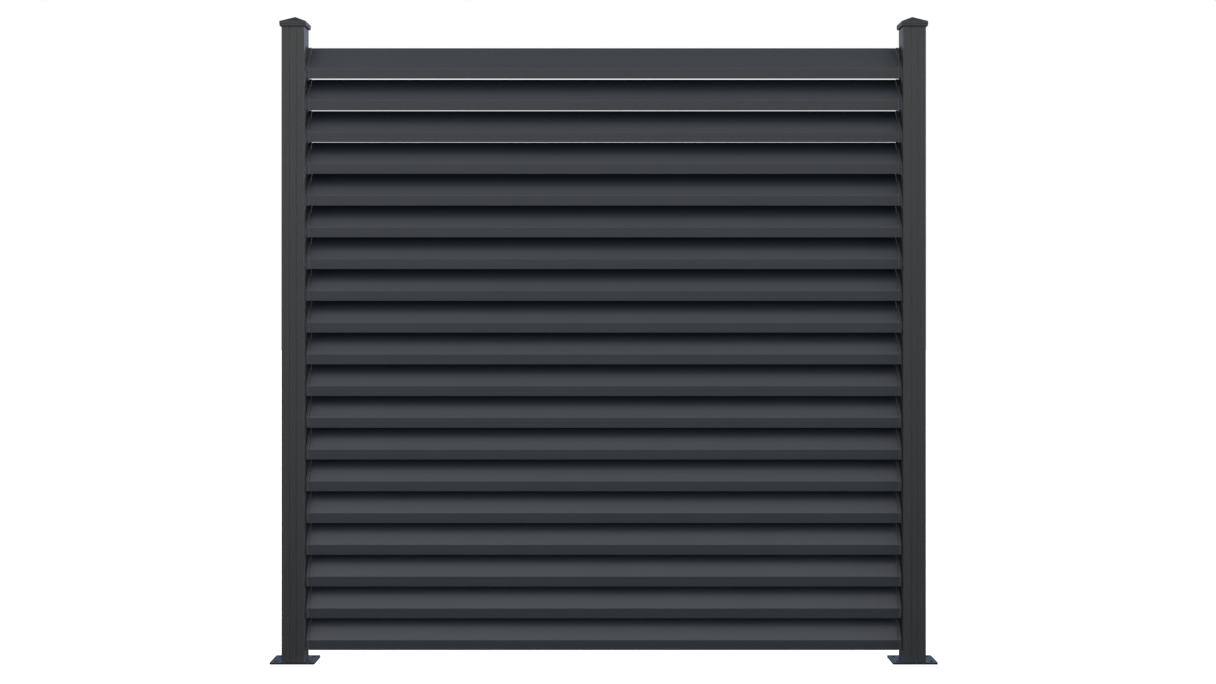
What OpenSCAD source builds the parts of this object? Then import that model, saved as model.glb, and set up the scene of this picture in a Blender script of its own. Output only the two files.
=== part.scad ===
// Louvred aluminium garden fence: one bay of fixed slats between two square posts on base plates.
// Each slat slides over the tongues of two moulded end caps, and the end caps are screwed to a
// side rail on the inner face of each post. The posts are extrusions with a slot in every face,
// closed by a clip-in cover strip, and a hollow pyramid cap closes the top.
// Frame: origin at the centre of the left base plate's underside, +X along the bay towards the
// right post, +Y from the front to the back, +Z up. All lengths are in millimetres.

/* [Bay] */
// Clear width between the inner faces of the two posts
bay_clear = 1797; // [900:1:2400]
// Number of slats, counted from the lowest one
slat_count = 19; // [4:1:22]
// Height from one slat to the next
slat_pitch = 95.5; // [88:0.5:110]
// Height of the lowest slat above the underside of the base plates
ground_gap = 37.5; // [15:0.5:200]
// Height of the post cap's foot above the edge of the top slat
top_reveal = 57.1; // [20:0.1:300]

/* [Slat] */
// Height of the upright lip at the front of a slat
lip_h = 30.4; // [20:0.2:36]
// Height that the sloping web rises above the lip
web_rise = 69.2; // [60:0.2:76]
// Depth that the web leans back over that height
web_run = 44.5; // [30:0.5:46]
// Sheet thickness of a slat
slat_t = 1.6; // [1.2:0.1:2.4]
// Inner radius of the bend between the lip and the web
bend_r = 1.5; // [1.5:0.5:8]
// Distance from the front face of the posts back to the lips
slat_setback = 12; // [6:0.5:14]

/* [End caps] */
// Thickness of the flange that closes the end of a slat
flange_t = 9; // [4:0.5:12]
// Depth of the flange behind the slat's front surface
flange_depth = 9; // [7:0.5:12]
// Height that the flange stands above the slat's top edge
flange_over = 2; // [0.5:0.5:4]
// Open seam between the flange and the end of the slat
seam = 1; // [0.4:0.1:2]
// Length of the tongue beyond the flange, behind the slat
tongue_len = 18; // [10:1:40]
// Thickness of the tongue
tongue_t = 3; // [2:0.5:4]
// Width of the tongue, measured up the web
tongue_w = 40; // [20:1:50]
// Distance from the bend up the web to the tongue
tongue_start = 15; // [10:1:18]

/* [Side rails] */
// Depth of the rail's channel between the post and the end caps
rail_t = 2.5; // [2.5:0.5:10]
// Width of the rail from front to back
rail_w = 21; // [18:1:24]
// Distance from the front face of the posts back to the rail
rail_setback = 36; // [35:0.5:37]
// Wall thickness of the rail
rail_wall = 1.5; // [1:0.1:2.2]

/* [Posts] */
// Outer width of the square posts
post_w = 68.5; // [64:0.5:80]
// Wall thickness of the posts
post_wall = 2; // [1.5:0.1:3]
// Outer corner radius of the posts
post_corner_r = 1.5; // [1:0.5:5]
// Width of the slot behind each cover strip
slot_w = 15; // [12:0.5:17]
// Depth of the slot behind each cover strip
slot_depth = 7; // [5:0.5:9]

/* [Cover strips] */
// Width of a cover strip
strip_w = 19.8; // [19:0.2:23]
// Thickness of a cover strip
strip_t = 2; // [1.5:0.1:2.5]
// Clearance at each side of a cover strip
strip_clear = 0.5; // [0.2:0.1:1]
// Length of the two clip legs on the back of a cover strip
strip_leg = 4; // [2:0.5:4.5]
// Thickness of the clip legs
strip_leg_t = 1.2; // [0.8:0.1:2]

/* [Post caps] */
// Depth of the post's top inside the cap
cap_insert = 7; // [4:0.5:8]
// Clearance between the post and the inside of the cap
cap_clear = 0.3; // [0.1:0.1:0.6]
// Wall thickness of the cap's sloping faces
cap_wall = 2.5; // [1.5:0.1:3.5]
// Overhang of the neck beyond the post
cap_neck_over = 4.9; // [2.7:0.1:5]
// Height of the neck from the cap's flat foot up to the rim
cap_neck_h = 4.6; // [2.5:0.1:12]
// Height of the step from the neck out to the rim
cap_step_h = 0.5; // [0.4:0.1:3]
// Overhang of the rim beyond the post
cap_rim_over = 5.5; // [5:0.5:10]
// Height of the rim's upright edge
cap_rim_h = 8.8; // [2:0.1:12]
// Height of the pyramid above the rim
cap_rise = 19.5; // [15:0.1:40]

/* [Base plates] */
// Length of a base plate along the bay
plate_w = 135; // [125:1:180]
// Width of a base plate from front to back
plate_d = 98; // [90:1:150]
// Thickness of a base plate
plate_t = 6; // [4:0.5:12]
// Corner radius of a base plate
plate_corner_r = 4; // [2:0.5:10]
// Diameter of the four anchor holes
anchor_d = 11; // [8:0.5:14]
// Distance of the anchor holes from the edges of the plate
anchor_inset = 17; // [12:0.5:18]

/* [Hidden] */
$fn = 48;
// Segments in the bend of a slat
BEND_STEPS = 6;
// How far a cut runs past the face that it opens
PAST = 1;

panel_top = ground_gap + (slat_count - 1) * slat_pitch + lip_h + web_rise;
cap_base = panel_top + top_reveal;
post_top = cap_base + cap_insert;
post_len = post_top - plate_t;
bay_middle = (post_w + bay_clear) / 2;

slat_front = slat_setback - post_w / 2;
rail_front = rail_setback - post_w / 2;
slat_start = post_w / 2 + rail_t + flange_t + seam;
slat_len = 2 * (bay_middle - slat_start);
web_angle = atan(web_run / web_rise);
bend_outer_r = bend_r + slat_t;
bend_centre = [bend_outer_r, lip_h - bend_outer_r * tan(web_angle / 2)];
web_end = [web_run, lip_h + web_rise];

rebate_w = strip_w + 2 * strip_clear;
cap_neck_half = post_w / 2 + cap_neck_over;
cap_rim_half = post_w / 2 + cap_rim_over;
cap_rim_top = cap_neck_h + cap_step_h + cap_rim_h;
cap_slope = atan(cap_rise / cap_rim_half);
cap_hollow_half = post_w / 2 - post_wall;
cap_hollow_top = cap_rim_top + cap_rise - cap_wall / cos(cap_slope);

SIDES = ["left", "right"];
FACES = ["front", "inner", "back", "outer"];
FRAME_NODES = ["base_plate", "post", "post_cap", "side_rail", "slat_end_caps"];

function strip_name(side, face) = str("cover_strip_", side, "_", face);

function slat_name(i) = str("slat_", i < 10 ? "0" : "", i);

// Points of an arc about centre, from one angle to another
function arc(centre, r, from, to, steps) =
    [for (k = [0:steps]) let (a = from + (to - from) * k / steps) centre + r * [cos(a), sin(a)]];

// Direction up the web, and direction square to it towards the back
function up_web(s) = s * [sin(web_angle), cos(web_angle)];
function behind_web(s) = s * [cos(web_angle), -sin(web_angle)];

// Front surface of a slat from its lower edge to the start of the web
function slat_front_line() =
    concat([[0, 0]], arc(bend_centre, bend_outer_r, 180, 180 - web_angle, BEND_STEPS));

// Back surface of a slat from the web down to its lower edge
function slat_back_line() =
    concat(arc(bend_centre, bend_r, 180 - web_angle, 180, BEND_STEPS), [[slat_t, 0]]);

// Children drawn for the left side, placed at the left or mirrored to the right
module on_side(side) {
    if (side == "left") children();
    else translate([2 * bay_middle, 0, 0]) mirror([1, 0, 0]) children();
}

// A section drawn as depth and height, swept along the bay
module sweep_along_bay(length) {
    rotate([90, 0, 90]) linear_extrude(length) children();
}

// A section drawn in the plane of the web, with x towards the back and y up the web
module on_web() {
    translate([0, lip_h]) rotate(-web_angle) children();
}

module rounded_rectangle(w, d, r) {
    square([w - 2 * r, d], center = true);
    square([w, d - 2 * r], center = true);
    for (x = [-1, 1], y = [-1, 1]) translate([x * (w / 2 - r), y * (d / 2 - r)]) circle(r);
}

// A block that starts at the post's front face and reaches depth into it, drawn for each face
module into_each_face(w, depth, past = 0) {
    for (turn = [0:90:270]) rotate(turn)
        translate([-w / 2, -post_w / 2 - past]) square([w, depth + past]);
}

module post_hollow() {
    difference() {
        square(post_w - 2 * post_wall, center = true);
        into_each_face(rebate_w + 2 * post_wall, strip_t + post_wall);
        into_each_face(slot_w + 2 * post_wall, strip_t + slot_depth + post_wall);
    }
}

module post_section() {
    difference() {
        rounded_rectangle(post_w, post_w, post_corner_r);
        into_each_face(rebate_w, strip_t, PAST);
        into_each_face(slot_w, strip_t + slot_depth, PAST);
        post_hollow();
    }
}

module post(side) {
    color("dimgray") on_side(side)
        translate([0, 0, plate_t]) linear_extrude(post_len) post_section();
}

// A cover strip on the post's front face: a flush plate with two clip legs in the slot. It ends
// under the cap's foot, which covers the slot above it.
module strip_section() {
    translate([-strip_w / 2, -post_w / 2]) square([strip_w, strip_t]);
    for (x = [-slot_w / 2, slot_w / 2 - strip_leg_t])
        translate([x, -post_w / 2]) square([strip_leg_t, strip_t + strip_leg]);
}

module cover_strip(side, face) {
    turn = 90 * search([face], FACES)[0];
    color("gray") on_side(side)
        translate([0, 0, plate_t]) rotate(turn) linear_extrude(cap_base - plate_t) strip_section();
}

module base_plate(side) {
    color("slategray") on_side(side) difference() {
        linear_extrude(plate_t) rounded_rectangle(plate_w, plate_d, plate_corner_r);
        for (x = [-1, 1], y = [-1, 1])
            translate([x * (plate_w / 2 - anchor_inset), y * (plate_d / 2 - anchor_inset), -PAST])
                cylinder(d = anchor_d, h = plate_t + 2 * PAST);
    }
}

// A square solid whose four sides all follow one outline of half width and height
module four_sided(outline, reach) {
    mirrored = [for (k = [len(outline) - 2:-1:0]) [-outline[k].x, outline[k].y]];
    intersection_for (turn = [0, 90]) rotate([90, 0, turn])
        linear_extrude(2 * reach, center = true) polygon(concat(outline, mirrored));
}

module cap_outside() {
    four_sided([
        [cap_neck_half, 0],
        [cap_neck_half, cap_neck_h],
        [cap_rim_half, cap_neck_h + cap_step_h],
        [cap_rim_half, cap_rim_top],
        [0, cap_rim_top + cap_rise]
    ], cap_rim_half + PAST);
}

module cap_hollow() {
    slope_h = cap_hollow_half * tan(cap_slope);
    four_sided([
        [cap_hollow_half, cap_insert - PAST],
        [cap_hollow_half, cap_hollow_top - slope_h],
        [0, cap_hollow_top]
    ], cap_rim_half);
}

module post_cap(side) {
    socket_w = post_w + 2 * cap_clear;
    color("darkslategray") on_side(side) translate([0, 0, cap_base]) difference() {
        cap_outside();
        cap_hollow();
        translate([-socket_w / 2, -socket_w / 2, -PAST])
            cube([socket_w, socket_w, cap_insert + PAST]);
    }
}

// A channel that opens towards the post and carries the end caps on its web
module side_rail(side) {
    rail_len = panel_top + flange_over - ground_gap;
    color("dimgray") on_side(side)
        translate([post_w / 2, rail_front, ground_gap]) linear_extrude(rail_len) difference() {
            square([rail_t, rail_w]);
            translate([-PAST, rail_wall])
                square([rail_t - rail_wall + PAST, rail_w - 2 * rail_wall]);
        }
}

module flange_section() {
    top_front = web_end + up_web(flange_over);
    inner_corner = [flange_depth, lip_h - flange_depth * tan(web_angle / 2)];
    polygon(concat(
        slat_front_line(),
        [top_front, top_front + behind_web(flange_depth), inner_corner, [flange_depth, 0]]
    ));
}

module tongue_section() {
    on_web() translate([slat_t, tongue_start]) square([tongue_t, tongue_w]);
}

module end_cap() {
    sweep_along_bay(flange_t) flange_section();
    sweep_along_bay(flange_t + tongue_len) tongue_section();
}

module slat_end_caps(side) {
    color("black") on_side(side)
        for (i = [1:slat_count])
            translate([post_w / 2 + rail_t, slat_front, slat_height(i)]) end_cap();
}

function slat_height(i) = ground_gap + (i - 1) * slat_pitch;

module slat_section() {
    polygon(concat(
        slat_front_line(),
        [web_end, web_end + behind_web(slat_t)],
        slat_back_line()
    ));
}

module slat(i) {
    color("gray") translate([slat_start, slat_front, slat_height(i)])
        sweep_along_bay(slat_len) slat_section();
}

for (side = SIDES) {
    base_plate(side);
    post(side);
    post_cap(side);
    side_rail(side);
    slat_end_caps(side);
    for (face = FACES)
        cover_strip(side, face);
}
for (i = [1:slat_count])
    slat(i);
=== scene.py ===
# %% [markdown]
# # A louvred aluminium fence bay
#
# The fence is one bay: two square posts on base plates, with nineteen fixed slats between them.
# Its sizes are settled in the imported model, which loads first and never moves. Blender's part is
# the finish: rolled bends, softened edges, moulded end caps, and a powder coat with a real grain.
#
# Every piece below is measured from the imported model, so each one lands in its own place.

# %% Load the fixed model
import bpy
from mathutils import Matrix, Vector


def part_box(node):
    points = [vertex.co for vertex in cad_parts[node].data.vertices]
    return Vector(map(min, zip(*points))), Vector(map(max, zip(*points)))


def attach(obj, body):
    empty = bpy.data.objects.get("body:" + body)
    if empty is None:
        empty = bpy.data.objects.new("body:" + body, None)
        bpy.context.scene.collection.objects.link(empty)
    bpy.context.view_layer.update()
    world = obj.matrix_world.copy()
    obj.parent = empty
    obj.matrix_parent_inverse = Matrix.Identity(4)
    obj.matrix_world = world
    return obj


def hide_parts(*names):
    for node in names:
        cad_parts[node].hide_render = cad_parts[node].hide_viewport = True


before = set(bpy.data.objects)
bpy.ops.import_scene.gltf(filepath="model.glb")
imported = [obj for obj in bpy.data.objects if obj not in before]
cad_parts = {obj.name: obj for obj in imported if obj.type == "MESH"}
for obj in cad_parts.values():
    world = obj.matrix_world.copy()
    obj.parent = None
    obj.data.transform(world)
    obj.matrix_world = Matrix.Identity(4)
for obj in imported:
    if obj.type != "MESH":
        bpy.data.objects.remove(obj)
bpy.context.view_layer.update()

# %% Tools for modelling
import math
import bmesh
import bpy
from mathutils import Matrix, Vector

MM = 0.001

# %% [markdown]
# ## Where things are
#
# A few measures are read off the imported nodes: the post's width, the slats' names and pitch, and
# the middle of the bay. The fence is the same on both sides of that middle, so each side piece is
# modelled once on the left and mirrored across it for the right.

# %% Measures of the bay
SIDES = ("left", "right")
FACES = ("front", "inner", "back", "outer")

post_low, post_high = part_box("post_left")
post_half = (post_high.x - post_low.x) / 2
bay_middle = (post_low.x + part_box("post_right")[1].x) / 2
slat_names = sorted(
    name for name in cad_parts
    if name.startswith("slat_") and name.removeprefix("slat_").isdigit()
)
slat_low, slat_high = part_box(slat_names[0])
slat_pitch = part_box(slat_names[1])[0].z - slat_low.z
print(f"post {2 * post_half / MM:.1f} mm, {len(slat_names)} slats, pitch {slat_pitch / MM:.1f} mm")

# %% [markdown]
# ## The camera
#
# A tall flat object keeps its edges upright when the camera looks level, so the camera isn't
# tilted. It stands in front of the middle of the bay, a little above half height. A small lens
# shift then slides the picture up and sideways until the whole fence is framed.

# %% Camera
CAMERA_DISTANCE = 4.474  # metres in front of the posts
CAMERA_HEIGHT = 1.0787
LEVEL = math.radians(90)  # an unturned camera looks straight down
SENSOR_WIDTH = 36  # millimetres, as the lens
LENS = 44.15
SHIFT_SIDEWAYS = 0.0035  # shares of the picture's width
SHIFT_UP = -0.03125

camera = bpy.data.objects.new("camera", bpy.data.cameras.new("camera"))
bpy.context.collection.objects.link(camera)
bpy.context.scene.camera = camera
camera.data.sensor_width = SENSOR_WIDTH
camera.data.lens = LENS
camera.data.shift_x = SHIFT_SIDEWAYS
camera.data.shift_y = SHIFT_UP
camera.location = (bay_middle, post_low.y - CAMERA_DISTANCE, CAMERA_HEIGHT)
camera.rotation_euler = (LEVEL, 0, 0)
print(f"camera: {LENS} mm lens, {CAMERA_DISTANCE} m in front of the posts")

# %% [markdown]
# ## Soft studio light
#
# Dark powder coat shows its form through the light that it softly mirrors. A few lamps would
# leave patches on it, so the studio is a dome: a world whose brightness depends on the direction
# alone. It is worked out from the direction's three parts, which run from -1 to 1: to the right,
# to the back, and up.

# %% Nodes for the world
world = bpy.data.worlds.new("studio_dome")
bpy.context.scene.world = world
world.use_nodes = True
sky = world.node_tree
sky.nodes.clear()


def sky_node(kind, **settings):
    """A node of the world, with some of its inputs set."""
    node = sky.nodes.new("ShaderNode" + kind)
    for name, value in settings.items():
        node.inputs[name].default_value = value
    return node


def sky_range(value, low, high, start=0, end=1):
    """Goes from start to end while a value goes from low to high, and stays there past them."""
    span = sky_node("MapRange", **{
        "From Min": low, "From Max": high, "To Min": start, "To Max": end,
    })
    sky.links.new(value, span.inputs["Value"])
    return span.outputs["Result"]


def sky_math(operation, *values):
    """One step of arithmetic on sockets and plain numbers."""
    result = sky_node("Math")
    result.operation = operation
    for value, place in zip(values, result.inputs):
        if isinstance(value, bpy.types.NodeSocket):
            sky.links.new(value, place)
        else:
            place.default_value = value
    return result.outputs["Value"]


direction = sky_node("SeparateXYZ")
sky.links.new(sky_node("TexCoord").outputs["Generated"], direction.inputs[0])
right, back, up = (direction.outputs[axis] for axis in "XYZ")
print("world:", world.name)

# %% [markdown]
# ## The dome
#
# The dome has a wide bright band in front, from just over the horizon to high up, and is dark
# below and overhead. So each slat's overhang throws a deep soft shade on the slat under it, and
# upright faces grow darker towards the ground. Behind the fence there is a dim cool sky over a
# dark horizon, which the base plates and the inner faces pick up. The dome is a little brighter
# at front left and back right than at the other two corners, so nothing looks flatly lit.

# %% Brightness of the dome
DOME_FRONT = (  # sine of the elevation, and the brightness as red, green, blue
    (-0.25, (0.00, 0.00, 0.00)),
    (-0.05, (0.35, 0.35, 0.35)),
    (0.10, (0.92, 0.92, 0.92)),
    (0.25, (1.29, 1.29, 1.29)),
    (0.40, (1.37, 1.37, 1.38)),
    (0.55, (1.32, 1.32, 1.33)),
    (0.70, (1.28, 1.28, 1.30)),
    (0.82, (1.17, 1.17, 1.20)),
    (0.92, (0.77, 0.77, 0.80)),
    (1.00, (0.18, 0.18, 0.20)),
)
DOME_BACK = (
    (-0.30, (0.08, 0.08, 0.08)),
    (-0.05, (0.05, 0.06, 0.07)),
    (0.10, (0.36, 0.42, 0.58)),
    (0.25, (0.30, 0.38, 0.54)),
    (0.45, (0.10, 0.12, 0.16)),
    (0.70, (0.11, 0.14, 0.18)),
    (1.00, (0.18, 0.18, 0.20)),
)
print(f"dome: {len(DOME_FRONT)} bands in front, {len(DOME_BACK)} behind")

# %% Two halves of the dome
DOME_PEAK = 1.5  # a ramp holds colours up to 1, so they are divided by this
DOME_SLANT = 0.5  # the corners differ from the middle by up to half of this
DOME_SEAM = 0.2  # the two halves melt together over this much to each side


def dome_ramp(stops, height):
    """A colour ramp by height, from straight down at 0 to straight up at 1."""
    ramp = sky_node("ValToRGB")
    elements = ramp.color_ramp.elements
    elements.remove(elements[0])
    for index, (sine, colour) in enumerate(stops):
        place = (sine + 1) / 2
        stop = elements[0] if index == 0 else elements.new(place)
        stop.position = place
        stop.color = (*(channel / DOME_PEAK for channel in colour), 1)
    sky.links.new(height, ramp.inputs["Fac"])
    return ramp.outputs["Color"]


height = sky_range(up, -1, 1)
halves = sky.nodes.new("ShaderNodeMix")
halves.data_type = "RGBA"
sky.links.new(sky_range(back, -DOME_SEAM, DOME_SEAM), halves.inputs["Factor"])
sky.links.new(dome_ramp(DOME_FRONT, height), halves.inputs["A"])
sky.links.new(dome_ramp(DOME_BACK, height), halves.inputs["B"])
corner = sky_math("MULTIPLY", right, back)
slant = sky_range(corner, -1, 1, DOME_PEAK * (1 - DOME_SLANT), DOME_PEAK * (1 + DOME_SLANT))
dome = sky_node("Background")
sky.links.new(halves.outputs["Result"], dome.inputs["Color"])
sky.links.new(slant, dome.inputs["Strength"])
print(f"brightness times {DOME_PEAK}, give or take {DOME_PEAK * DOME_SLANT / 2:.2f} by corner")

# %% [markdown]
# ## Lamps in the dome
#
# The lamps are soft patches of the same world, so they reach every piece from one direction,
# however long the fence is. One at the far right, just in front of the fence, brightens the
# faces and edges that look to the right. Two weaker ones at the rear corners let the backs of
# the slats and posts be read. A patch is its strength times a few soft limits.

# %% Lamps
SIDE_STRENGTH = 24
SIDE_RIGHT = (0.88, 1)  # where the patch begins, and where it is full
SIDE_FRONT = (0.05, -0.05)
SIDE_UP = (-0.05, 0.15)
REAR_STRENGTH = 2.6
REAR_ASIDE = (0.45, 0.60)
REAR_BACK = (0.30, 0.45)
REAR_UP = (0, 0.15)


def lamp(strength, *limits):
    """A patch that is as strong as all its limits let it be together."""
    for limit in limits:
        strength = sky_math("MULTIPLY", strength, limit)
    return strength


to_right = sky_range(right, *SIDE_RIGHT)
to_right.node.interpolation_type = "SMOOTHSTEP"
side_lamp = lamp(SIDE_STRENGTH, to_right, sky_range(back, *SIDE_FRONT), sky_range(up, *SIDE_UP))
aside = sky_range(sky_math("ABSOLUTE", right), *REAR_ASIDE)
rear_lamps = lamp(REAR_STRENGTH, aside, sky_range(back, *REAR_BACK), sky_range(up, *REAR_UP))
all_lamps = sky_math("ADD", side_lamp, rear_lamps)
print(f"lamps: {SIDE_STRENGTH} at the right, {REAR_STRENGTH} at the rear corners")

# %% [markdown]
# ## What the camera sees
#
# The dome and the lamps light the fence, but the camera itself sees plain white behind it. A
# white backdrop could do that too, but it would block the dome behind the fence. So the world
# answers the camera's own rays in white and all the others with the studio's light. The plain
# view transform keeps the white and the dark coat as they are.

# %% World as a whole
WHITE = (1, 1, 1, 1)

lamps = sky_node("Background", Color=WHITE)
sky.links.new(all_lamps, lamps.inputs["Strength"])
all_light = sky_node("AddShader")
sky.links.new(dome.outputs[0], all_light.inputs[0])
sky.links.new(lamps.outputs[0], all_light.inputs[1])
plain_white = sky_node("Background", Color=WHITE)
either = sky_node("MixShader")
sky.links.new(sky_node("LightPath").outputs["Is Camera Ray"], either.inputs["Fac"])
sky.links.new(all_light.outputs[0], either.inputs[1])
sky.links.new(plain_white.outputs[0], either.inputs[2])
sky.links.new(either.outputs[0], sky_node("OutputWorld").inputs["Surface"])
bpy.context.scene.view_settings.view_transform = "Standard"
print(f"{world.name}: {len(sky.nodes)} nodes")

# %% [markdown]
# ## The floor
#
# A pale floor grounds the fence. It glows a little, so that it reads as white paper and keeps
# only a faint shade under the fence. It sends no light back, because the underside of every slat
# stays nearly black.

# %% Floor
FLOOR_SIZE = 60
FLOOR_LOOKS = {
    "Base Color": (0.9, 0.9, 0.9, 1),
    "Roughness": 0.9,
    "Emission Color": WHITE,
    "Emission Strength": 0.85,
}

bm = bmesh.new()
bmesh.ops.create_grid(bm, x_segments=1, y_segments=1, size=FLOOR_SIZE / 2)
floor_mesh = bpy.data.meshes.new("floor")
bm.to_mesh(floor_mesh)
bm.free()
floor = bpy.data.objects.new("floor", floor_mesh)
bpy.context.collection.objects.link(floor)
floor_paint = bpy.data.materials.new("pale_floor")
floor_paint.use_nodes = True
floor_surface = floor_paint.node_tree.nodes["Principled BSDF"]
for name, value in FLOOR_LOOKS.items():
    floor_surface.inputs[name].default_value = value
floor_mesh.materials.append(floor_paint)
floor.visible_diffuse = False
floor.visible_glossy = False
print(f"floor: {FLOOR_SIZE} m square")

# %% [markdown]
# ## Powder coat
#
# The posts, strips, slats, caps, plates and rails are aluminium under a baked powder coat. The
# powder melts into a skin with a fine pebbled grain, so it is matte but never flat. The grain is
# far too small to model, so it is a bump. One function makes every coat, from four patterns on
# Object coordinates, so they keep one scale on every piece: a pebbled grain, a slower ripple
# like orange peel, faint draw lines along the length that the metal was extruded in, and a
# mottle that shifts the tone a little from place to place.

# %% Patterns for the finishes
NOISE_MIDDLE = (0.3, 0.7)  # noise seldom leaves this range


def add_noise(tree, size, detail=2.0, stretch=(1, 1, 1)):
    """Noise on Object coordinates. Size is in metres, and stretch makes it longer along an axis."""
    coords = tree.nodes.new("ShaderNodeTexCoord")
    mapping = tree.nodes.new("ShaderNodeMapping")
    mapping.inputs["Scale"].default_value = [1 / (size * longer) for longer in stretch]
    noise = tree.nodes.new("ShaderNodeTexNoise")
    noise.inputs["Scale"].default_value = 1
    noise.inputs["Detail"].default_value = detail
    tree.links.new(coords.outputs["Object"], mapping.inputs["Vector"])
    tree.links.new(mapping.outputs["Vector"], noise.inputs["Vector"])
    return noise.outputs["Fac"]


def add_range(tree, value, low, high):
    """Spreads the middle of a noise over a range."""
    span = tree.nodes.new("ShaderNodeMapRange")
    span.inputs["From Min"].default_value, span.inputs["From Max"].default_value = NOISE_MIDDLE
    span.inputs["To Min"].default_value = low
    span.inputs["To Max"].default_value = high
    tree.links.new(value, span.inputs["Value"])
    return span.outputs["Result"]


def add_bump(tree, value, depth, under=None):
    """A bump of some depth in metres, laid over another one."""
    bump = tree.nodes.new("ShaderNodeBump")
    bump.inputs["Distance"].default_value = depth
    tree.links.new(value, bump.inputs["Height"])
    if under:
        tree.links.new(under, bump.inputs["Normal"])
    return bump.outputs["Normal"]


def add_tones(tree, value, colour, spread):
    """A colour that a pattern makes lighter and darker by a share."""
    tones = tree.nodes.new("ShaderNodeMix")
    tones.data_type = "RGBA"
    tones.inputs["A"].default_value = (*((1 - spread) * channel for channel in colour), 1)
    tones.inputs["B"].default_value = (*((1 + spread) * channel for channel in colour), 1)
    tree.links.new(add_range(tree, value, 0, 1), tones.inputs["Factor"])
    return tones.outputs["Result"]


# %% Powder coat
GRAIN_SIZE = 0.7 * MM
GRAIN_DEPTH = 0.012 * MM
RIPPLE_SIZE = 6 * MM
RIPPLE_DEPTH = 2 * GRAIN_DEPTH
LINE_SIZE = 1.5 * MM
LINE_DEPTH = 0.4 * GRAIN_DEPTH
LINE_STRETCH = 400
MOTTLE_SIZE = 180 * MM
MOTTLE_DETAIL = 4
MOTTLE_SPREAD = 0.06
ALONG = {"x": (LINE_STRETCH, 1, 1), "z": (1, 1, LINE_STRETCH)}


def powder_coat(name, colour, gloss, drawn="", specular=0.7):
    """A baked powder coat: colour, lowest and highest roughness, and draw direction."""
    coat = bpy.data.materials.new(name)
    coat.use_nodes = True
    tree = coat.node_tree
    surface = tree.nodes["Principled BSDF"]
    surface.inputs["Specular IOR Level"].default_value = specular
    ripple = add_noise(tree, RIPPLE_SIZE)
    normal = add_bump(tree, ripple, RIPPLE_DEPTH)
    normal = add_bump(tree, add_noise(tree, GRAIN_SIZE), GRAIN_DEPTH, normal)
    if drawn:
        lines = add_noise(tree, LINE_SIZE, stretch=ALONG[drawn])
        normal = add_bump(tree, lines, LINE_DEPTH, normal)
    mottle = add_noise(tree, MOTTLE_SIZE, MOTTLE_DETAIL)
    tree.links.new(add_tones(tree, mottle, colour, MOTTLE_SPREAD), surface.inputs["Base Color"])
    tree.links.new(add_range(tree, ripple, *gloss), surface.inputs["Roughness"])
    tree.links.new(normal, surface.inputs["Normal"])
    print("finish:", name)
    return coat


post_coat = powder_coat("post_powder_coat", (0.022, 0.024, 0.026), (0.38, 0.46), "z")
strip_coat = powder_coat("strip_powder_coat", (0.021, 0.023, 0.025), (0.36, 0.44), "z")
slat_coat = powder_coat("slat_powder_coat", (0.0157, 0.0219, 0.0297), (0.38, 0.46), "x")
cap_coat = powder_coat("cap_powder_coat", (0.014, 0.018, 0.023), (0.38, 0.46))
plate_coat = powder_coat("plate_powder_coat", (0.012, 0.018, 0.028), (0.26, 0.36), specular=0.5)
# The rail's coat is near black and duller than the posts': painted shade, which keeps the narrow
# gap between each post and its end caps dark.
rail_painted_shade_coat = powder_coat("rail_coat_with_painted_shade", (0.008, 0.009, 0.010), (0.50, 0.60), "z", 0.3)

# %% [markdown]
# ## End-cap plastic
#
# The end caps are moulded in a dark plastic. A spark-eroded mould leaves a soft, even texture
# that is coarser than powder coat and has no draw lines, so this finish gets its own patterns:
# a fine texture in the bump, and faint clouds in the tone and the gloss, where the melt cooled
# unevenly.

# %% Moulded plastic
CLOUD_SIZE = 22 * MM
CLOUD_SPREAD = 0.08
TEXTURE_SIZE = 1.1 * MM
TEXTURE_DEPTH = 0.02 * MM
PLASTIC_DETAIL = 3


def moulded_plastic(name, colour, gloss):
    """A moulded plastic: colour, and lowest and highest roughness."""
    plastic = bpy.data.materials.new(name)
    plastic.use_nodes = True
    tree = plastic.node_tree
    surface = tree.nodes["Principled BSDF"]
    clouds = add_noise(tree, CLOUD_SIZE, PLASTIC_DETAIL)
    texture = add_noise(tree, TEXTURE_SIZE, PLASTIC_DETAIL)
    tree.links.new(add_tones(tree, clouds, colour, CLOUD_SPREAD), surface.inputs["Base Color"])
    tree.links.new(add_range(tree, clouds, *gloss), surface.inputs["Roughness"])
    tree.links.new(add_bump(tree, texture, TEXTURE_DEPTH), surface.inputs["Normal"])
    print("finish:", name)
    return plastic


end_cap_plastic = moulded_plastic("end_cap_plastic", (0.044, 0.046, 0.049), (0.44, 0.54))

# %% [markdown]
# ## Helpers for the pieces
#
# A section is drawn as a few points, in metres, and turned into a line or a face, then an
# operator pulls it to length. Every bevel goes through one helper, because the operator's own
# defaults differ from the editor's. Edges are found by where they lie, to a hundredth of a
# millimetre. A finished piece gets smooth shading with sharp creases kept, and weighted
# normals, so that large flats stay flat up to their rounded edges.

# %% Drawing and pulling
NEAR = 0.01 * MM


def near(value, target):
    """Whether two measures are the same."""
    return abs(value - target) < NEAR


def draw_line(bm, points):
    """Joins points, in metres, with edges."""
    corners = [bm.verts.new(point) for point in points]
    return [bm.edges.new(pair) for pair in zip(corners, corners[1:])]


def draw_face(bm, points):
    """One face through a few corners, in metres."""
    return bm.faces.new([bm.verts.new(point) for point in points])


def only(kind, made):
    """The corners, or the faces, among what an operator made."""
    return [element for element in made if isinstance(element, kind)]


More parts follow.
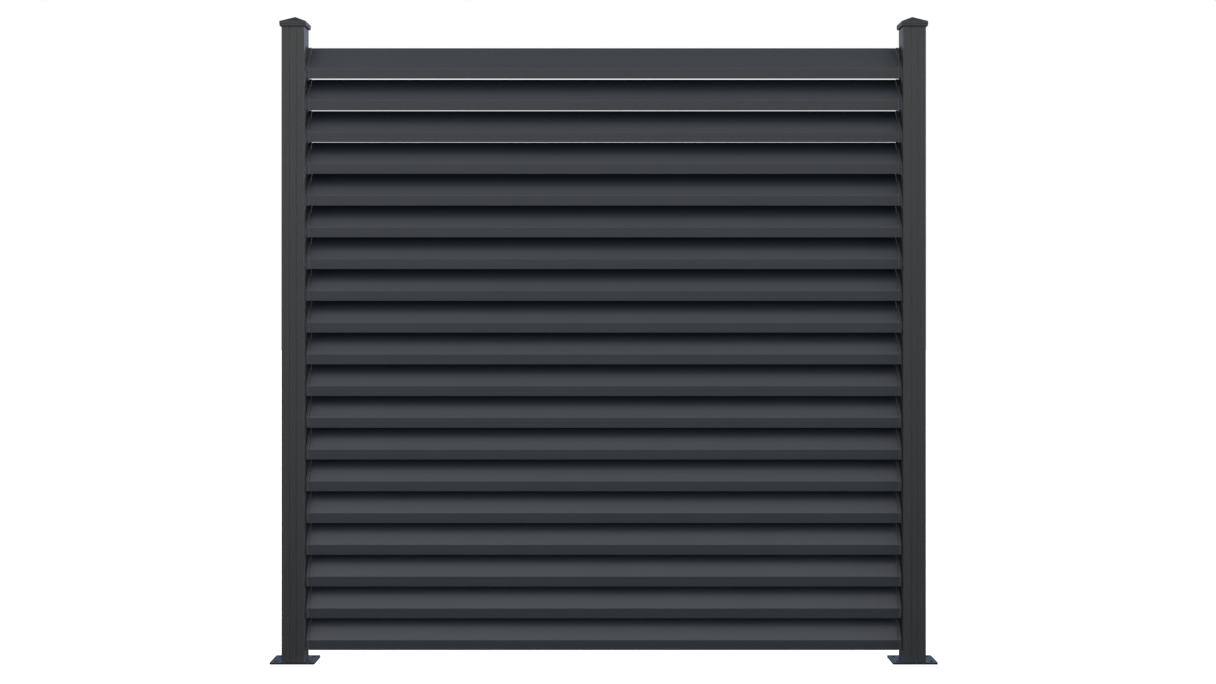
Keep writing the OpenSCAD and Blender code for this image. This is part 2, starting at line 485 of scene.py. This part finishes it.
def pull_face(bm, face, along):
    """Pulls a face along a direction and returns it at its new place. A lone face stays as the far
    end of the new solid, but on a solid the old face would be left inside, so it is deleted."""
    on_solid = all(edge.is_manifold for edge in face.edges)
    made = bmesh.ops.extrude_face_region(bm, geom=[face])["geom"]
    bmesh.ops.translate(bm, vec=along, verts=only(bmesh.types.BMVert, made))
    if on_solid:
        bmesh.ops.delete(bm, geom=[face], context="FACES_ONLY")
    return only(bmesh.types.BMFace, made)[0]


def pull_edges(bm, edges, along):
    """Pulls a line of edges into a sheet."""
    made = bmesh.ops.extrude_edge_only(bm, edges=edges)["geom"]
    bmesh.ops.translate(bm, vec=along, verts=only(bmesh.types.BMVert, made))


def mirror_all(bm, axis):
    """Mirrors all there is across the middle, and joins the halves where they meet."""
    everything = bm.verts[:] + bm.edges[:] + bm.faces[:]
    bmesh.ops.mirror(bm, geom=everything, matrix=Matrix.Identity(4), merge_dist=NEAR, axis=axis)


def thicken(bm, wall, face, outward):
    """Gives a sheet its wall. The sheet is turned so that a face of it looks outward, and the
    wall grows on the other side."""
    bmesh.ops.recalc_face_normals(bm, faces=bm.faces)
    if face.normal.dot(outward) < 0:
        bmesh.ops.reverse_faces(bm, faces=bm.faces)
    bmesh.ops.solidify(bm, geom=bm.faces[:], thickness=wall)
    bmesh.ops.recalc_face_normals(bm, faces=bm.faces)


# %% Finding and rounding edges
LONG = 1  # metre: on a post, a strip or a rail, only the edges along it are longer
SHARP = 60  # degrees


def middle_of(element):
    """The middle of an edge or a face."""
    return sum((corner.co for corner in element.verts), Vector()) / len(element.verts)


def sharp_edges(bm, degrees=SHARP, where=None):
    """Edges that stand out by more than an angle."""
    limit = math.radians(degrees)
    return [
        edge for edge in bm.edges
        if edge.is_manifold and edge.calc_face_angle() > limit and edge.is_convex
        and (where is None or where(edge))
    ]


def round_off(bm, geom, size, segments=2, affect="EDGES"):
    """Bevels edges or corners with a true arc."""
    bmesh.ops.bevel(
        bm, geom=geom, offset=size, offset_type="OFFSET", segments=segments, profile=0.5,
        affect=affect, clamp_overlap=False, material=-1,
    )


# %% Sides and finished pieces
CREASE = 50  # degrees


def mirror_for(side, bm):
    """Leaves the left side's mesh alone, and turns it into the right side's."""
    if side == "right":
        across = Matrix.Translation((-bay_middle, 0, 0))
        bmesh.ops.scale(bm, vec=(-1, 1, 1), space=across, verts=bm.verts)
    bmesh.ops.recalc_face_normals(bm, faces=bm.faces)


def add_piece(name, bm, finish, slot, *nodes):
    """Makes a piece from a mesh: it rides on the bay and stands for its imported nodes."""
    mesh = bpy.data.meshes.new(name)
    bm.to_mesh(mesh)
    bm.free()
    mesh.shade_smooth()
    mesh.set_sharp_from_angle(angle=math.radians(CREASE))
    mesh.materials.append(finish)
    piece = bpy.data.objects.new(name, mesh)
    bpy.context.collection.objects.link(piece)
    even = piece.modifiers.new("even_shading", "WEIGHTED_NORMAL")
    even.keep_sharp = True
    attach(piece, "root")
    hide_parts(*nodes)
    return piece


def measure(piece, node):
    """Prints how far a piece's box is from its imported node's box, in millimetres."""
    corners = [Vector(corner) for corner in piece.bound_box]
    low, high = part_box(node)
    gap = max(
        max(abs(min(c[k] for c in corners) - low[k]), abs(max(c[k] for c in corners) - high[k]))
        for k in range(3)
    )
    print(f"{piece.name}: {len(piece.data.polygons)} faces, {gap / MM:.2f} mm off {node}")


# %% [markdown]
# ## Slats
#
# A slat is one strip of aluminium with an upright lip in front and a sloping web behind it. It
# could be a swept curve, but a folded sheet is closer to how it is made: a line of three points
# is pulled along the bay, the fold between its two flats is rounded into a bend, and the sheet
# gets its thickness last, so the wall is even round the bend. The cut edges are then broken.

# %% Slats
LIP_HEIGHT = 30.4 * MM
WEB_RUN = 44.5 * MM
SHEET = 1.6 * MM
SHEET_EDGE = 0.7 * MM
BEND_RADIUS = 3.1 * MM
BEND_STEPS = 8

web_rise = slat_high.z - slat_low.z - LIP_HEIGHT
web_angle = math.atan(WEB_RUN / web_rise)
bend_reach = BEND_RADIUS * math.tan(web_angle / 2)


def make_slat(name):
    low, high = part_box(name)
    bm = bmesh.new()
    profile = draw_line(bm, (
        low,
        low + Vector((0, 0, LIP_HEIGHT)),
        low + Vector((0, WEB_RUN, LIP_HEIGHT + web_rise)),
    ))
    pull_edges(bm, profile, (high.x - low.x, 0, 0))
    fold = low.z + LIP_HEIGHT
    bend = [edge for edge in bm.edges if all(near(v.co.z, fold) for v in edge.verts)]
    round_off(bm, bend, bend_reach, BEND_STEPS)
    bm.faces.ensure_lookup_table()
    thicken(bm, SHEET, bm.faces[0], Vector((0, -1, 0)))
    round_off(bm, sharp_edges(bm), SHEET_EDGE)
    return add_piece(f"{name}_blade", bm, slat_coat, "slat_coat", name)


slats = [make_slat(name) for name in slat_names]
measure(slats[0], slat_names[0])
measure(slats[-1], slat_names[-1])

# %% [markdown]
# ## Slat end caps
#
# Each slat ends in a moulded cap: a thick flange that follows the slat's fold and stands a little
# above it, with a tongue that slides in behind the web. The flange is one face through six
# corners, rounded at the fold and pulled to its thickness; moulded edges are softer than cut
# ones, so they get a larger radius. The tongue is a pulled face too, with a rounded tip.

# %% Flange and tongue
FLANGE = 9 * MM
FLANGE_DEPTH = 9 * MM
FLANGE_OVER = 2 * MM
TONGUE = 3 * MM
TONGUE_WIDTH = 40 * MM
TONGUE_START = 15 * MM
TONGUE_TIP = 2 * TONGUE
MOULDED_EDGE = 0.7 * MM

up_web = Vector((0, math.sin(web_angle), math.cos(web_angle)))
behind_web = Vector((0, math.cos(web_angle), -math.sin(web_angle)))
print(f"the web leans back by {math.degrees(web_angle):.1f} degrees")


def make_flange(low):
    top = low + Vector((0, WEB_RUN, LIP_HEIGHT + web_rise)) + FLANGE_OVER * up_web
    back_fold = LIP_HEIGHT - FLANGE_DEPTH * math.tan(web_angle / 2)
    bm = bmesh.new()
    outline = draw_face(bm, (
        low,
        low + Vector((0, 0, LIP_HEIGHT)),
        top,
        top + FLANGE_DEPTH * behind_web,
        low + Vector((0, FLANGE_DEPTH, back_fold)),
        low + Vector((0, FLANGE_DEPTH, 0)),
    ))
    round_off(bm, [outline.verts[1]], bend_reach, segments=6, affect="VERTICES")
    bm.faces.ensure_lookup_table()
    pull_face(bm, bm.faces[0], (FLANGE, 0, 0))
    bmesh.ops.recalc_face_normals(bm, faces=bm.faces)
    round_off(bm, sharp_edges(bm), MOULDED_EDGE)
    return bm


def make_tongue(low, length):
    """A tongue whose root is hidden in the middle of the flange."""
    root, tip = low.x + FLANGE / 2, low.x + length
    start = low + Vector((FLANGE / 2, 0, LIP_HEIGHT)) + SHEET * behind_web + TONGUE_START * up_web
    bm = bmesh.new()
    outline = draw_face(bm, (
        start,
        start + TONGUE_WIDTH * up_web,
        start + TONGUE_WIDTH * up_web + TONGUE * behind_web,
        start + TONGUE * behind_web,
    ))
    pull_face(bm, outline, (tip - root, 0, 0))
    bmesh.ops.recalc_face_normals(bm, faces=bm.faces)
    at_tip = [edge for edge in bm.edges if near(middle_of(edge).x, tip)]
    short = [edge for edge in at_tip if near(edge.calc_length(), TONGUE)]
    round_off(bm, short, TONGUE_TIP, segments=4)
    round_off(bm, sharp_edges(bm), MOULDED_EDGE / 2)
    return bm


# %% [markdown]
# ## A row of end caps
#
# The caps of one side come out of one mould, so one cap is modelled at the lowest slat, and
# copied upwards at the slats' pitch. A modifier could repeat it as well, but copies in the mesh
# can be mirrored to the other side with everything else.

# %% End caps
def add_part(bm, part):
    """Moves a part into a piece's mesh."""
    scratch = bpy.data.meshes.new("scratch")
    part.to_mesh(scratch)
    part.free()
    bm.from_mesh(scratch)
    bpy.data.meshes.remove(scratch)


def make_end_caps(side):
    node = f"slat_end_caps_{side}"
    low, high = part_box("slat_end_caps_left")
    bm = bmesh.new()
    add_part(bm, make_flange(low))
    add_part(bm, make_tongue(low, high.x - low.x))
    one_cap = bm.verts[:] + bm.edges[:] + bm.faces[:]
    for step in range(1, len(slat_names)):
        copy = bmesh.ops.duplicate(bm, geom=one_cap)["geom"]
        rise = (0, 0, step * slat_pitch)
        bmesh.ops.translate(bm, vec=rise, verts=only(bmesh.types.BMVert, copy))
    mirror_for(side, bm)
    return add_piece(f"end_caps_{side}", bm, end_cap_plastic, "end_cap_plastic", node)


for side in SIDES:
    measure(make_end_caps(side), f"slat_end_caps_{side}")

# %% [markdown]
# ## Posts
#
# A post is a square extrusion with a shallow rebate in each face and a deeper slot behind it.
# Booleans could cut them, but a drawn section leaves nothing to clean up. Half of one face is
# drawn as a line, mirrored, and spun in four steps round the post's middle, which closes the
# section. The four corners are rounded, the section is pulled up, and the lips of the rebates
# get the small radius that catches a line of light.

# %% Posts
REBATE = 20.8 * MM
REBATE_DEPTH = 2 * MM
SLOT = 15 * MM
SLOT_DEPTH = 7 * MM
POST_CORNER = 1 * MM
LIP_EDGE = 0.4 * MM


def fill_section(bm):
    """Fills a closed outline with one face."""
    return bmesh.ops.contextual_create(bm, geom=bm.edges[:])["faces"][0]


def make_post(side):
    node = f"post_{side}"
    bm = bmesh.new()
    face = -post_half
    rebate = face + REBATE_DEPTH
    slot = rebate + SLOT_DEPTH
    draw_line(bm, (
        (-post_half, face, post_low.z),
        (-REBATE / 2, face, post_low.z),
        (-REBATE / 2, rebate, post_low.z),
        (-SLOT / 2, rebate, post_low.z),
        (-SLOT / 2, slot, post_low.z),
        (0, slot, post_low.z),
    ))
    mirror_all(bm, "X")
    bmesh.ops.spin(
        bm, geom=bm.verts[:] + bm.edges[:], cent=(0, 0, 0), axis=(0, 0, 1),
        angle=math.radians(360), steps=4, use_duplicate=True, use_merge=False,
    )
    bmesh.ops.remove_doubles(bm, verts=bm.verts, dist=NEAR)
    section = fill_section(bm)
    corners = [v for v in section.verts if near(abs(v.co.x) + abs(v.co.y), 2 * post_half)]
    round_off(bm, corners, POST_CORNER, segments=5, affect="VERTICES")
    bm.faces.ensure_lookup_table()
    pull_face(bm, bm.faces[0], (0, 0, post_high.z - post_low.z))
    bmesh.ops.recalc_face_normals(bm, faces=bm.faces)

    def on_lip(edge):
        return edge.calc_length() > LONG and near(max(map(abs, middle_of(edge).xy)), post_half)

    round_off(bm, sharp_edges(bm, where=on_lip), LIP_EDGE)
    mirror_for(side, bm)
    return add_piece(f"post_{side}_profile", bm, post_coat, "post_coat", node)


for side in SIDES:
    measure(make_post(side), f"post_{side}")

# %% [markdown]
# ## Cover strips
#
# A strip clips into each slot and lies flush in the rebate, so the post shows two fine shadow
# lines on every face. The lines could be painted on, but a real gap keeps its shade from every
# side. The section is half a line, mirrored into a closed outline with two legs. It is pulled up
# under the post cap, and turned in quarter turns to the four faces.

# %% Cover strips
STRIP = 19.8 * MM
STRIP_THICKNESS = 2 * MM
LEG = 4 * MM
LEG_THICKNESS = 1.2 * MM
STRIP_EDGE = 0.35 * MM
QUARTER_TURN = 90


def make_strip(side, turn, face_name):
    node = f"cover_strip_{side}_{face_name}"
    low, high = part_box("cover_strip_left_front")
    front, back = -post_half, -post_half + STRIP_THICKNESS
    bm = bmesh.new()
    draw_line(bm, (
        (0, front, low.z),
        (STRIP / 2, front, low.z),
        (STRIP / 2, back, low.z),
        (SLOT / 2, back, low.z),
        (SLOT / 2, back + LEG, low.z),
        (SLOT / 2 - LEG_THICKNESS, back + LEG, low.z),
        (SLOT / 2 - LEG_THICKNESS, back, low.z),
        (0, back, low.z),
    ))
    mirror_all(bm, "X")
    pull_face(bm, fill_section(bm), (0, 0, high.z - low.z))
    bmesh.ops.recalc_face_normals(bm, faces=bm.faces)

    def in_front(edge):
        return edge.calc_length() > LONG and near(middle_of(edge).y, front)

    round_off(bm, sharp_edges(bm, where=in_front), STRIP_EDGE)
    quarter = Matrix.Rotation(math.radians(QUARTER_TURN * turn), 3, "Z")
    bmesh.ops.rotate(bm, cent=(0, 0, 0), matrix=quarter, verts=bm.verts)
    mirror_for(side, bm)
    return add_piece(f"strip_{side}_{face_name}", bm, strip_coat, "strip_coat", node)


for side in SIDES:
    for turn, face_name in enumerate(FACES):
        measure(make_strip(side, turn, face_name), f"cover_strip_{side}_{face_name}")

# %% [markdown]
# ## Post caps
#
# A cast cap closes each post: a flat foot that stands out all round, a short neck, a rim, and a
# low pyramid. Every level of it is a square, so it grows from one square that is pulled up and
# widened from level to level. The last square is poked, and its new middle point is raised to
# the peak. Below, the foot is inset and pushed up into a socket for the post. The rim and the
# hips are rounded as a casting's are.

# %% Post caps
CAP_FOOT = 39.15 * MM  # half width
CAP_LEVELS = (  # height above the foot, and half width
    (4.6 * MM, 39.15 * MM),
    (5.1 * MM, 39.75 * MM),
    (13.9 * MM, 39.75 * MM),
)
CAP_WALL = 4.6 * MM
CAP_SOCKET = 7 * MM
CAST_EDGE = 0.5 * MM
CAST_ANGLE = 20


def make_cap(side):
    node = f"post_cap_{side}"
    low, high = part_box("post_cap_left")
    bm = bmesh.new()
    bmesh.ops.create_grid(bm, x_segments=1, y_segments=1, size=CAP_FOOT)
    bmesh.ops.translate(bm, vec=(0, 0, low.z), verts=bm.verts)
    bm.faces.ensure_lookup_table()
    level, half_width, height = bm.faces[0], CAP_FOOT, 0
    for next_height, next_half in CAP_LEVELS:
        level = pull_face(bm, level, (0, 0, next_height - height))
        wider = next_half / half_width
        bmesh.ops.scale(bm, vec=(wider, wider, 1), verts=level.verts)
        half_width, height = next_half, next_height
    peak = bmesh.ops.poke(bm, faces=[level])["verts"][0]
    peak.co.z = high.z
    bmesh.ops.recalc_face_normals(bm, faces=bm.faces)
    foot = min(bm.faces, key=lambda face: middle_of(face).z)
    bmesh.ops.inset_individual(bm, faces=[foot], thickness=CAP_WALL)
    pull_face(bm, foot, (0, 0, CAP_SOCKET))
    bmesh.ops.recalc_face_normals(bm, faces=bm.faces)
    rim = low.z + CAP_LEVELS[1][0]
    cast = sharp_edges(bm, CAST_ANGLE, lambda edge: middle_of(edge).z > rim + NEAR)
    round_off(bm, cast, CAST_EDGE, segments=3)
    mirror_for(side, bm)
    return add_piece(f"post_cap_{side}_casting", bm, cap_coat, "cap_coat", node)


for side in SIDES:
    measure(make_cap(side), f"post_cap_{side}")

# %% [markdown]
# ## Base plates
#
# Each post stands on a plate with a hole near each corner for a ground anchor. A boolean would
# leave long thin faces round the holes. Here one quarter is made instead: the rim of a small
# square grid is bridged to a circle, which gives an even ring of faces round the hole. The ring
# is pulled out to the plate's middle lines.

# %% A quarter of a plate
HOLE_RADIUS = 5.5 * MM
HOLE_INSET = 17 * MM
RING_CELLS = 8
HALF_CORNER = 45


def make_ring(bm):
    """An even ring of faces between a square rim and a round hole."""
    bmesh.ops.create_grid(bm, x_segments=RING_CELLS, y_segments=RING_CELLS, size=HOLE_INSET)
    inner = [v for v in bm.verts if not v.is_boundary]
    bmesh.ops.delete(bm, geom=inner, context="VERTS")
    rim = bm.edges[:]
    hole = bmesh.ops.create_circle(bm, segments=4 * RING_CELLS, radius=HOLE_RADIUS)["verts"]
    turn = Matrix.Rotation(math.radians(HALF_CORNER), 3, "Z")
    bmesh.ops.rotate(bm, cent=(0, 0, 0), matrix=turn, verts=hole)
    circle = list({edge for corner in hole for edge in corner.link_edges})
    bmesh.ops.bridge_loops(bm, edges=rim + circle)


def make_quarter(bm, half):
    """The corner of a plate with its hole, from the middle lines out."""
    make_ring(bm)
    centre = half - Vector((HOLE_INSET, HOLE_INSET, 0))
    bmesh.ops.translate(bm, vec=centre, verts=bm.verts)
    for axis, reach in ((Vector((1, 0, 0)), half.x), (Vector((0, 1, 0)), half.y)):
        inside = reach - 2 * HOLE_INSET
        facing = [e for e in bm.edges if all(near(v.co.dot(axis), inside) for v in e.verts)]
        pull_edges(bm, facing, -inside * axis)


print(f"anchor holes: {2 * HOLE_RADIUS / MM:.0f} mm wide, {HOLE_INSET / MM:.0f} mm from the edges")

# %% [markdown]
# ## From a quarter to a plate
#
# The plate is the same in all four quarters, so the quarter is mirrored twice. The sheet is then
# thickened, its corners are rounded in plan, and its edges and the rims of its holes are broken.

# %% Base plates
PLATE_CORNER = 4 * MM
PLATE_EDGE = 0.6 * MM


def make_plate(side):
    node = f"base_plate_{side}"
    low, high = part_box("base_plate_left")
    half = Vector((high.x, high.y, 0))
    bm = bmesh.new()
    make_quarter(bm, half)
    for axis in "XY":
        mirror_all(bm, axis)
    bm.faces.ensure_lookup_table()
    thicken(bm, high.z - low.z, bm.faces[0], Vector((0, 0, -1)))

    def at_corner(edge):
        return all(near(abs(v.co.x) + abs(v.co.y), half.x + half.y) for v in edge.verts)

    round_off(bm, sharp_edges(bm, where=at_corner), PLATE_CORNER, segments=5)
    round_off(bm, sharp_edges(bm), PLATE_EDGE)
    mirror_for(side, bm)
    return add_piece(f"plate_{side}", bm, plate_coat, "plate_coat", node)


for side in SIDES:
    measure(make_plate(side), f"base_plate_{side}")

# %% [markdown]
# ## Side rails
#
# A shallow channel on the inner face of each post carries the end caps. It sits so deep that it
# is seen only as a dark line beside the post, and its coat is painted near black as painted shade
# that keeps the line dark. It is a folded sheet, so it is made as the slats are: its web and two
# flanges are one line of four points, pulled up, rounded at its two folds, and given its wall.

# %% Side rails
RAIL_WALL = 1.5 * MM
RAIL_BEND = 1.7 * MM


def make_rail(side):
    node = f"side_rail_{side}"
    low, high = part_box("side_rail_left")
    bm = bmesh.new()
    profile = draw_line(bm, (
        low,
        (high.x, low.y, low.z),
        (high.x, high.y, low.z),
        (low.x, high.y, low.z),
    ))
    pull_edges(bm, profile, (0, 0, high.z - low.z))
    upright = [edge for edge in bm.edges if edge.calc_length() > LONG]
    folds = [edge for edge in upright if near(middle_of(edge).x, high.x)]
    round_off(bm, folds, RAIL_BEND, segments=4)
    web = max(bm.faces, key=lambda face: middle_of(face).x)
    thicken(bm, RAIL_WALL, web, Vector((1, 0, 0)))
    round_off(bm, sharp_edges(bm), SHEET_EDGE)
    mirror_for(side, bm)
    # The rail carries the near-black coat: painted shade for the gap beside the post.
    return add_piece(f"rail_{side}", bm, rail_painted_shade_coat, "post_coat", node)


for side in SIDES:
    measure(make_rail(side), f"side_rail_{side}")
